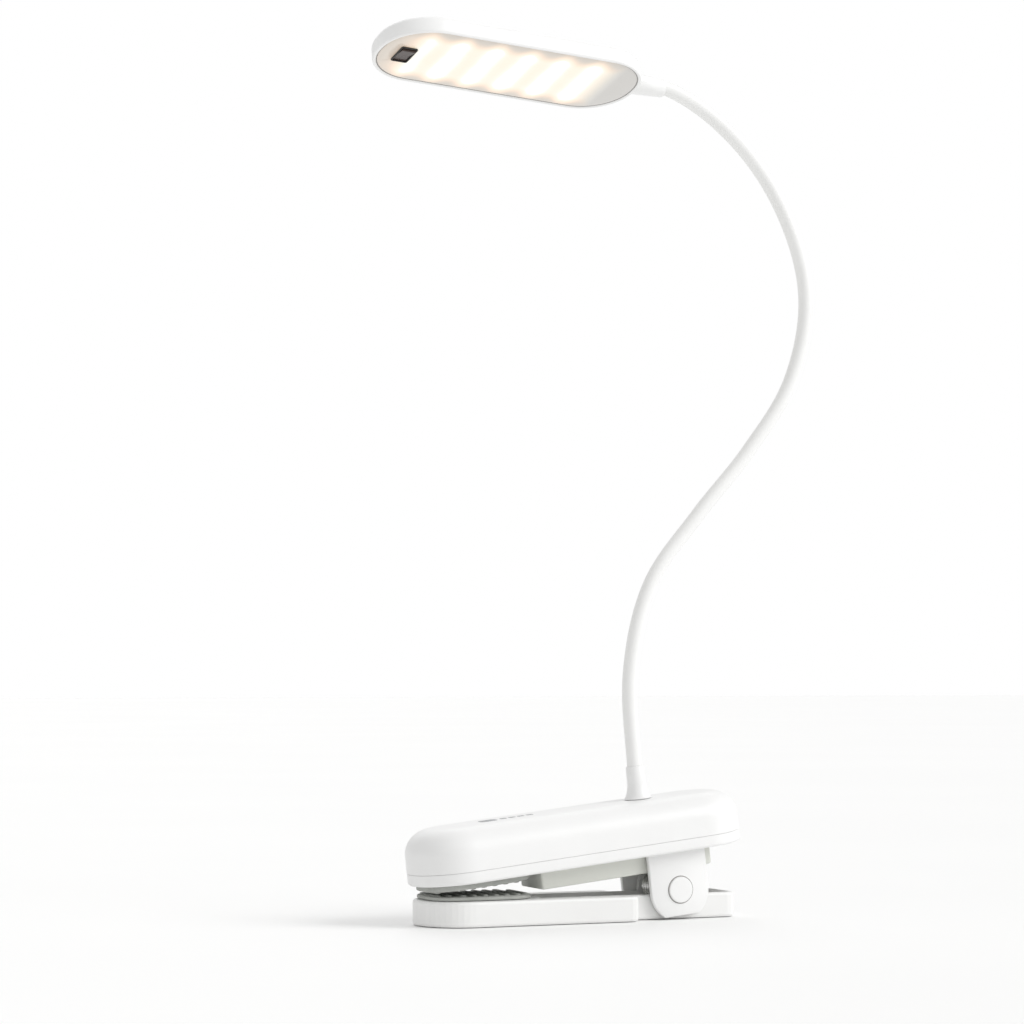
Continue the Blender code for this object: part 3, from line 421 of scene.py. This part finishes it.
def housing_base():
    """The lower shell with a crisp lower edge, the battery channel under it, and the two lugs."""
    half = HOUSING_WIDTH / 2
    edge = 1.4 * MM
    outer = [(half - 0.1 * MM, BASE_LOW), (edge, BASE_LOW)]
    outer += [(edge * (1 - math.sin(a)), BASE_LOW + edge * (1 - math.cos(a)))
              for a in np.linspace(0, math.pi / 2, 7)][1:]
    seam = SEAM - PARTING
    outer += [(0, seam - 0.12 * MM), (0.1 * MM, seam)]
    inner = [(WALL, seam), (WALL, BASE_LOW + WALL), (half - 0.1 * MM, BASE_LOW + WALL)]
    work = bmesh.new()
    add_slab(work, HOUSING_OUTLINE, [*outer, *inner])
    made = piece("housing_base_skin", work, HOUSING, WHITE, "housing")
    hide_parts("housing_bottom")

    work = bmesh.new()
    middle = ((CHANNEL_REAR - CHANNEL_FRONT) / 2, 0)
    outline = rounded(CHANNEL_FRONT + CHANNEL_REAR, CHANNEL_WIDTH, 1.2 * MM, middle, 5)
    floor = BASE_LOW - CHANNEL_DEPTH
    add_slab(work, outline, [(0.8 * MM, floor), (0.25 * MM, floor + 0.2 * MM), (0, floor + 0.8 * MM),
                             (0, BASE_LOW + 0.3 * MM)])
    # The channel takes the painted-shade grey-green, not its own white.
    channel = piece("battery_channel", work, HOUSING, CHANNEL_SHADE_GREY, "housing")

    for side, name in ((-1, "near"), (1, "far")):
        work = bmesh.new()
        inner_face, outer_face = LUG_OUTER - LUG_THICKNESS, LUG_OUTER
        profile = [(0.5 * MM, inner_face), (0.15 * MM, inner_face + 0.15 * MM), (0, inner_face + 0.5 * MM),
                   (0, outer_face - 0.7 * MM), (0.2 * MM, outer_face - 0.2 * MM), (0.7 * MM, outer_face)]
        add_loft(work, [[Vector((x, side * depth, z)) for x, z in lug_outline(inset)]
                        for inset, depth in profile])
        lug = piece(f"lug_{name}", work, HOUSING, WHITE, "housing")
        pin_cap(name, side)


def pin_cap(name, side):
    """A round cap, just proud of its lug, with a dished face and a fine dark ring of painted shade where the
    gap round it would be.
    """
    low, high = corners(f"pin_cap_{name}", HOUSING)
    radius, face = (high.x - low.x) / 2, high.y if side > 0 else -low.y
    place = HOUSING @ Matrix.Rotation(math.radians(-90 * side), 4, "X")
    work = bmesh.new()
    add_turned(work, [(0, face), (0.55 * radius, face - 0.03 * MM), (0.86 * radius, face + 0.05 * MM),
                      (0.96 * radius, face - 0.05 * MM), (radius, face - 0.35 * MM),
                      (radius, face - 1.2 * MM), (0, face - 1.2 * MM)], steps=64)
    cap = piece(f"cap_{name}", work, place, WHITE, "housing")
    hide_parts(f"pin_cap_{name}")
    # The ring is painted shade: a dark band on the lug's face, round the cap.
    work = bmesh.new()
    ring_at = LUG_OUTER + 0.02 * MM
    add_turned(work, [(radius + 0.5 * MM, ring_at), (radius - 0.2 * MM, ring_at),
                      (radius - 0.2 * MM, ring_at - 0.4 * MM), (radius + 0.5 * MM, ring_at - 0.4 * MM)],
               steps=64, loop=True)
    gap = piece(f"cap_gap_shade_{name}", work, place, GAP_SHADE_GREY, "housing")


def level_marks():
    """A touch spot and a row of battery-level bars printed on the housing's top."""
    low, high = corners("indicator_lens", HOUSING)
    surface = high.z
    work = bmesh.new()
    bars = 4
    pitch = 4.2 * MM
    for i in range(bars):
        bar = rounded(2.9 * MM, 3.2 * MM, 0.5 * MM, (low.x + 1.4 * MM + i * pitch, 0), 4)
        add_slab(work, bar, [(0, surface - 0.4 * MM), (0, surface + 0.03 * MM),
                             (0.1 * MM, surface + 0.08 * MM)])
    spot = rounded(8 * MM, 7 * MM, 2.2 * MM, (low.x - 6 * MM, 0), 8)
    add_slab(work, spot, [(0, surface - 0.6 * MM), (0, surface + 0.02 * MM),
                          (0.2 * MM, surface + 0.07 * MM)])
    marks = piece("level_marks", work, HOUSING, INK, "housing")
    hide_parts("indicator_lens")


def ribbed_pad(name, node, place, body, up):
    """A soft pad with rounded ribs across it on the face that grips."""
    low, high = corners(node, place)
    length, width = high.x - low.x, high.y - low.y
    middle = ((low.x + high.x) / 2, 0)
    back, face = (low.z, high.z) if up else (high.z, low.z)
    sign = 1 if up else -1
    work = bmesh.new()
    outline = rounded(length, width, width / 2 - 4 * MM, middle, 12)
    add_slab(work, outline, [(0.2 * MM, back), (0, back + sign * 0.3 * MM),
                             (0, face - sign * (RIB_HEIGHT + 0.3 * MM)),
                             (0.4 * MM, face - sign * RIB_HEIGHT)])
    for i in range(RIBS):
        x = low.x + (i + 0.75) * length / (RIBS + 0.5)
        reach = width - 6 * MM if 1 < i < RIBS - 1 else width - 13 * MM
        rib = rounded(2.6 * MM, reach, 1.2 * MM, (x, 0), 5)
        add_slab(work, rib, [(0, face - sign * (RIB_HEIGHT + 0.2 * MM)), (0, face - sign * 0.35 * MM),
                             (0.25 * MM, face - sign * 0.08 * MM), (0.6 * MM, face)])
    pad = piece(name, work, place, RUBBER, body)
    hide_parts(node)


# ---- Lower jaw and spring

SPRING_WIRE = 0.8 * MM  # its radius
SPRING_RADIUS = 6.4 * MM
SPRING_TURNS = 7.5
SPRING_STEPS = 40  # points in a turn


def lower_jaw():
    """The CAD jaw is the right shape: its edges are softened here, and finish_nodes sets its finish."""
    jaw = NODES["lower_jaw"]
    weld = jaw.modifiers.new("weld", "WELD")
    weld.merge_threshold = 0.005 * MM
    soften = jaw.modifiers.new("soften", "BEVEL")
    soften.width = 0.35 * MM
    soften.segments = 2
    soften.limit_method = "ANGLE"
    soften.angle_limit = math.radians(40)
    soften.harden_normals = True


def spring():
    """The torsion spring, whose coil winds up as the housing turns: a coil of wire round the pin, with a leg
    out from each end.
    """
    low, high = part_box("torsion_spring")
    half = (high.y - low.y) / 2 - SPRING_WIRE
    tail, elbow = high.x - SPRING_WIRE, high.x * 0.55  # how far each leg and its elbow reach past the pin
    head, foot = high.z - PIN.z - SPRING_WIRE, low.z + SPRING_WIRE - PIN.z
    steps = int(SPRING_TURNS * SPRING_STEPS)
    points = [(tail, half, head), (elbow, half, (SPRING_RADIUS + head) / 2)]
    for i in range(steps + 1):
        angle = math.radians(90 + 360 * SPRING_TURNS * i / steps)
        points.append((SPRING_RADIUS * math.cos(angle), half - 2 * half * i / steps,
                       SPRING_RADIUS * math.sin(angle)))
    points += [(elbow, -half, (foot - SPRING_RADIUS) / 2), (tail, -half, foot)]
    curve = bpy.data.curves.new("spring_wire", "CURVE")
    curve.dimensions = "3D"
    curve.bevel_depth = SPRING_WIRE
    curve.bevel_resolution = 4
    curve.use_fill_caps = True
    line = curve.splines.new("POLY")
    line.points.add(len(points) - 1)
    for point, place in zip(line.points, points):
        point.co = (*(Vector(place) + PIN), 1)
    shape = bpy.data.objects.new("spring_shape", curve)
    bpy.context.scene.collection.objects.link(shape)
    mesh = bpy.data.meshes.new_from_object(shape.evaluated_get(bpy.context.evaluated_depsgraph_get()))
    bpy.data.objects.remove(shape)
    work = bmesh.new()
    work.from_mesh(mesh)
    made = piece("coil_spring", work, WORLD, CHROME, None)
    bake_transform(made)
    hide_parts("torsion_spring")


# ---- Neck

NECK_RADIUS = 3.3 * MM
SLEEVE_BORE = NECK_RADIUS + 0.02 * MM  # of the pieces that the sleeve passes into
SLEEVE_SIDES = 28
SPAN_STEPS = 24  # points of the neck's line between two joints
BOOT_TOP = 4.2 * MM  # radius
BENDS = [joint for joint in frame["joints"] if joint["name"].startswith("neck_")] + [JOINTS["head_tilt"]]


def neck_line():
    """Points of a smooth line through the neck's joints, and where each joint lies on it."""
    collar_low, collar_high = corners("base_collar", HOUSING)
    foot = HOUSING @ Vector(((collar_low.x + collar_high.x) / 2, 0, collar_low.z + 6 * MM))
    tip = HEAD @ Vector((-14 * MM, 0, 0))
    knots = [foot, *[Vector(joint["pos_m"]) for joint in BENDS], tip]
    slopes = [(HOUSING.to_3x3() @ Vector((0, 0, 1))) * (knots[1] - knots[0]).length]
    for before, here, after in zip(knots, knots[1:], knots[2:]):
        ahead, behind = after - here, here - before
        slopes.append((ahead.normalized() + behind.normalized()) / 2)
    slopes.append((HEAD.to_3x3() @ Vector((-1, 0, 0))) * (knots[-1] - knots[-2]).length)
    line, marks = [], []
    for i, (start, end) in enumerate(zip(knots, knots[1:])):
        length = (end - start).length
        out = slopes[i].normalized() * length
        into = slopes[i + 1].normalized() * length
        marks.append(len(line))
        for k in range(SPAN_STEPS):
            t = k / SPAN_STEPS
            line.append(start * (2 * t**3 - 3 * t**2 + 1) + out * (t**3 - 2 * t**2 + t)
                        + end * (3 * t**2 - 2 * t**3) + into * (t**3 - t**2))
    line.append(knots[-1])
    return line, marks[1:]


def neck_sleeve():
    """One smooth sleeve, cut halfway between the joints so that each length spans one joint."""
    line, marks = neck_line()
    cuts = [0, *[(a + b) // 2 for a, b in zip(marks, marks[1:])], len(line) - 1]
    stood_for = [["neck_root", "neck_link_1"], *[[f"neck_link_{i}"] for i in range(2, 10)], ["neck_tip"]]
    for number, (first, last) in enumerate(zip(cuts, cuts[1:])):
        rings = []
        for k in range(first, last + 1):
            ahead = line[min(k + 1, len(line) - 1)] - line[max(k - 1, 0)]
            along = ahead.normalized()
            aside = along.cross(Vector((0, 1, 0))).normalized()
            up = along.cross(aside)
            rings.append([line[k] + NECK_RADIUS * (aside * a + up * b)
                          for a, b in arc((0, 0), 1, 0, 360 - 360 / SLEEVE_SIDES, SLEEVE_SIDES - 1)])
        work = bmesh.new()
        add_loft(work, rings)
        made = piece(f"neck_sleeve_{number + 1}", work, WORLD, SLEEVE, None, 60)
        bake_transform(made)
        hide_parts(*stood_for[number])


def base_collar():
    """The flared boot at the neck's foot."""
    low, high = corners("base_collar", HOUSING)
    place = HOUSING @ Matrix.Translation(((low.x + high.x) / 2, 0, low.z))
    height, foot = high.z - low.z, (high.x - low.x) / 2
    flare = [(BOOT_TOP + (foot - BOOT_TOP) * (1 - math.sin(a)) ** 1.6, height * 0.45 * math.sin(a) ** 1.2)
             for a in np.linspace(0.02, math.pi / 2, 12)]
    outer = [(foot - 0.25 * MM, -0.15 * MM), (foot, 0.1 * MM), *flare[1:],
             (BOOT_TOP - 0.1 * MM, height - 0.5 * MM), (BOOT_TOP - 0.3 * MM, height - 0.12 * MM),
             (BOOT_TOP - 0.6 * MM, height)]
    bore = [(SLEEVE_BORE, height - 0.1 * MM), (SLEEVE_BORE, -0.15 * MM)]
    work = bmesh.new()
    add_turned(work, [*outer, *bore], loop=True)
    made = piece("base_boot", work, place, WHITE, "housing", 50)
    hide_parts("base_collar")


def head_collar():
    """The tapered throat between the neck and the head: round at the neck, broad and flat at the head."""
    low, high = corners("head_collar", HEAD)
    start, end = high.x, HEAD_HIGH.x + 0.2 * MM
    wide, flat, neck = high.y, high.z, 4.15 * MM
    sides = 40
    rings = []

    def ring(x, a, b):
        rings.append([Vector((x, a * p, b * q)) for p, q in arc((0, 0), 1, 0, 360 - 360 / sides, sides - 1)])

    ring(end + 0.5 * MM, NECK_RADIUS, NECK_RADIUS)
    ring(start - 0.2 * MM, SLEEVE_BORE, SLEEVE_BORE)
    ring(start, neck - 0.5 * MM, neck - 0.5 * MM)
    ring(start - 0.15 * MM, neck - 0.15 * MM, neck - 0.15 * MM)
    for t in np.linspace(0.06, 1, 14):
        eased = t * t * (3 - 2 * t)
        ring(start + (end - start) * t, neck + (wide - neck) * eased, neck + (flat - neck) * eased)
    ring(end - 1.5 * MM, wide * 0.8, flat * 0.8)
    work = bmesh.new()
    add_loft(work, rings)
    made = piece("head_throat", work, HEAD, HEAD_WHITE, "head", 50)
    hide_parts("head_collar")


# ---- Head

HEAD_LOW, HEAD_HIGH = corners("head_shell", HEAD)
HEAD_CORNER = 23 * MM
HEAD_INNERMOST = HEAD_CORNER - 0.1 * MM  # the inset of a face's innermost ring
HEAD_OUTLINE = rounded(HEAD_HIGH.x - HEAD_LOW.x, HEAD_HIGH.y - HEAD_LOW.y, HEAD_CORNER,
                       ((HEAD_LOW.x + HEAD_HIGH.x) / 2, 0), 20)
HEAD_WALL = 1.6 * MM
BEZEL_LIP = 0.4 * MM  # the bezel's rim over the diffuser
BEZEL_WIDTH = 0.7 * MM
BEZEL_DEPTH = 3.4 * MM
ROCKER_VALLEY = 0.7 * MM  # its depth at the rocker's middle
ROCKER_CLEARANCE = (0.12 * MM, 0.3 * MM)  # to the bezel, beside the rocker and past the ends that rock


def head_shell():
    """A thin tray: softly crowned above, with a rounded upper rim and a fine lip round the diffuser."""
    top, bottom, half = HEAD_HIGH.z, HEAD_LOW.z, (HEAD_HIGH.y - HEAD_LOW.y) / 2
    reach_in, reach_up = 4.2 * MM, 3.6 * MM
    crown = [(inset, top - 0.35 * MM * ((half - inset) / half) ** 2)
             for inset in np.linspace(HEAD_INNERMOST, reach_in, 6)]
    shoulder = [(reach_in * (1 - math.sin(a)), crown[-1][1] - reach_up * (1 - math.cos(a)))
                for a in np.linspace(0, math.pi / 2, 10)][1:]
    lip = [(0, bottom + 0.9 * MM), (0.12 * MM, bottom + 0.35 * MM), (0.45 * MM, bottom),
           (HEAD_WALL - 0.3 * MM, bottom), (HEAD_WALL, bottom + 0.3 * MM)]
    inner = [(HEAD_WALL, shoulder[-1][1]), (reach_in, crown[-1][1] - HEAD_WALL),
             (HEAD_INNERMOST, top - HEAD_WALL)]
    work = bmesh.new()
    add_slab(work, HEAD_OUTLINE, [*crown, *shoulder, *lip, *inner])
    made = piece("head_skin", work, HEAD, HEAD_WHITE, "head")
    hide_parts("head_shell")


def switch_hole():
    """The switch body's middle along the head, its length and width, and the height of its face."""
    low, high = corners("switch_body", HEAD)
    return ((low.x + high.x) / 2, high.x - low.x, high.y - low.y, low.z)


def diffuser():
    """The opal sheet, set a hair below the lip, with the hole for the switch cut through it."""
    low, high = corners("diffuser", HEAD)
    inset = HEAD_WALL + 0.45 * MM
    face = HEAD_LOW.z + 0.15 * MM
    profile = [(HEAD_CORNER, face - 0.25 * MM), (10 * MM, face - 0.2 * MM),
               (inset + 1.6 * MM, face - 0.12 * MM), (inset + 0.5 * MM, face + 0.05 * MM),
               (inset + 0.1 * MM, face + 0.3 * MM), (inset, face + 0.6 * MM),
               (inset, high.z), (HEAD_CORNER, high.z)]
    work = bmesh.new()
    add_slab(work, HEAD_OUTLINE, profile)
    lens = piece("opal_lens", work, HEAD, OPAL, "head", keep_frame=True)
    middle, length, width, _ = switch_hole()
    work = bmesh.new()
    add_slab(work, rounded(length - 2 * BEZEL_LIP, width - 2 * BEZEL_LIP, 0.6 * MM, (middle, 0), 4),
             [(0, face - 3 * MM), (0, high.z + 3 * MM)])
    cutter = piece("switch_cutter", work, HEAD, OPAL, "head", keep_frame=True)
    cut = lens.modifiers.new("switch hole", "BOOLEAN")
    cut.object = cutter
    cut.solver = "EXACT"
    apply_modifiers(lens)
    bpy.data.objects.remove(cutter)
    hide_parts("diffuser")

    # Painted shade: a dark grey band round the sheet's edge, under the lip, where the gap would be in shadow.
    work = bmesh.new()
    gap = [(HEAD_WALL - 0.05 * MM, face + 0.25 * MM), (inset + 0.15 * MM, face + 0.45 * MM),
           (inset + 0.15 * MM, face + 0.8 * MM), (HEAD_WALL - 0.05 * MM, face + 0.8 * MM)]
    add_slab(work, HEAD_OUTLINE, gap, loop=True)
    line = piece("diffuser_gap_shade", work, HEAD, GAP_SHADE_GREY, "head")


def apply_modifiers(obj):
    """Bakes an object's modifiers into its mesh."""
    graph = bpy.context.evaluated_depsgraph_get()
    obj.data = bpy.data.meshes.new_from_object(obj.evaluated_get(graph))
    obj.modifiers.clear()


def switch():
    """A narrow bezel with a rounded rim, and a rocker with two flats that meet in a shallow valley."""
    middle, length, width, face = switch_hole()
    high = corners("switch_body", HEAD)[1].z
    skirt = BEZEL_LIP + 0.05 * MM
    work = bmesh.new()
    outline = rounded(length, width, 1.1 * MM, (middle, 0), 6)
    add_slab(work, outline, [(0.05 * MM, face + 0.6 * MM), (0, face + 0.35 * MM),
                             (0.2 * MM, face + 0.04 * MM), (0.3 * MM, face),
                             (BEZEL_WIDTH - 0.2 * MM, face), (BEZEL_WIDTH, face + 0.2 * MM),
                             (BEZEL_WIDTH, face + BEZEL_DEPTH), (skirt + 0.05 * MM, high),
                             (skirt, face + BEZEL_DEPTH), (skirt, face + 0.6 * MM)], loop=True)
    bezel = piece("switch_bezel", work, HEAD, BLACK, "head")
    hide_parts("switch_body")

    low = corners("rocker", ROCKER)[0]
    half_x = length / 2 - BEZEL_WIDTH - ROCKER_CLEARANCE[0]
    half_y = width / 2 - BEZEL_WIDTH - ROCKER_CLEARANCE[1]
    steps = 16
    rings = []
    for inset, lift in ((0.25 * MM, 0.0), (0.08 * MM, 0.08 * MM), (0.0, 0.3 * MM), (0.0, 1.9 * MM)):
        ring = []
        for i in range(steps + 1):
            y = -half_y + inset + 2 * (half_y - inset) * i / steps
            valley = ROCKER_VALLEY * (1 - math.hypot(y, 0.3 * MM) / half_y)
            ring.append(Vector((-half_x + inset, y, low.z + lift + valley * (lift < 0.5 * MM))))
        ring += [Vector((-p.x, p.y, p.z)) for p in reversed(ring)]
        rings.append(ring)
    work = bmesh.new()
    add_loft(work, rings)
    rocker = piece("rocker_cap", work, ROCKER, ROCKER_BLACK, "switch_rocker", 6)
    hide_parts("rocker")


# ---- Carried-over CAD nodes


def finish_nodes():
    """Materials for the CAD nodes that no piece stands in for."""
    finishes = {
        "lower_jaw": JAW_WHITE, "spring_bush": BLACK, "hinge_pin": STEEL, "battery_cell": WRAP,
        "battery_saddle_front": BLACK, "battery_saddle_rear": BLACK, "charge_board": GREEN_BOARD,
        "charge_socket": STEEL, "neck_nipple": BRASS, "neck_nut": BRASS, "neck_washer": STEEL,
        "led_board": WHITE_BOARD,
    }
    for name, node in NODES.items():
        if node.hide_render:
            continue
        finish = finishes.get(name, CHIP if name.startswith("led_") else STEEL)
        for slot in node.material_slots:
            slot.material = finish


# ---- Stage

FLOOR_HALF = 12  # half its side
FLOOR_DROP = 0.2 * MM  # keeps it clear of the lamp's flat underside
SURROUND_LIGHT = 0.72  # the surround is white to the camera, and lights the lamp less than that
SUNS = (("key", (0.62, -0.5, 0.5), 35, 1.6), ("rear", (0.1, 0.75, 0.65), 50, 0.4))  # name, from, width, power
CAMERA_AT = (-0.5475, -1.1155, 0.1072)
CAMERA_TURN, CAMERA_RISE = math.radians(23), math.radians(3.4)
LENS = 97  # in millimetres, as Blender has it


def studio():
    """A pale floor, an even white surround, and two large soft lights."""
    work = bmesh.new()
    bmesh.ops.create_grid(work, x_segments=1, y_segments=1, size=FLOOR_HALF)
    mesh = bpy.data.meshes.new("floor")
    work.to_mesh(mesh)
    work.free()
    floor = bpy.data.objects.new("floor", mesh)
    bpy.context.scene.collection.objects.link(floor)
    pale = Shading("pale_floor", (0.92, 0.92, 0.915), 0.6)
    pale.tone(0.4, 0.01)
    mesh.materials.append(pale.material)
    floor.location.z = -FLOOR_DROP

    world = bpy.data.worlds.new("white_surround")
    world.use_nodes = True
    nodes, links = world.node_tree.nodes, world.node_tree.links
    strength = nodes.new("ShaderNodeMapRange")
    strength.inputs["To Min"].default_value = SURROUND_LIGHT
    strength.inputs["To Max"].default_value = 1.0
    links.new(nodes.new("ShaderNodeLightPath").outputs["Is Camera Ray"], strength.inputs["Value"])
    links.new(strength.outputs["Result"], nodes["Background"].inputs["Strength"])
    nodes["Background"].inputs["Color"].default_value = (1, 1, 1, 1)
    bpy.context.scene.world = world
    for name, towards, width, power in SUNS:
        data = bpy.data.lights.new(name, "SUN")
        data.angle = math.radians(width)
        data.energy = power
        lamp = bpy.data.objects.new(name, data)
        bpy.context.scene.collection.objects.link(lamp)
        lamp.rotation_euler = Vector(towards).to_track_quat("Z", "Y").to_euler()


def camera():
    """A long lens, low and square to the lamp's side, tipped up a little."""
    data = bpy.data.cameras.new("camera")
    data.sensor_width = 36
    data.lens = LENS
    data.clip_start = 0.05
    view = bpy.data.objects.new("camera", data)
    bpy.context.scene.collection.objects.link(view)
    view.location = CAMERA_AT
    level = math.cos(CAMERA_RISE)
    ahead = Vector((math.sin(CAMERA_TURN) * level, math.cos(CAMERA_TURN) * level, math.sin(CAMERA_RISE)))
    view.rotation_euler = ahead.to_track_quat("-Z", "Y").to_euler()
    bpy.context.scene.camera = view
    bpy.context.scene.view_settings.view_transform = "Standard"


housing_top()
housing_base()
level_marks()
ribbed_pad("lower_pad_ribbed", "lower_pad", WORLD, "clip_base", True)
ribbed_pad("upper_pad_ribbed", "upper_pad", HOUSING, "housing", False)
lower_jaw()
spring()
neck_sleeve()
base_collar()
head_shell()
head_collar()
diffuser()
switch()
finish_nodes()
studio()
camera()
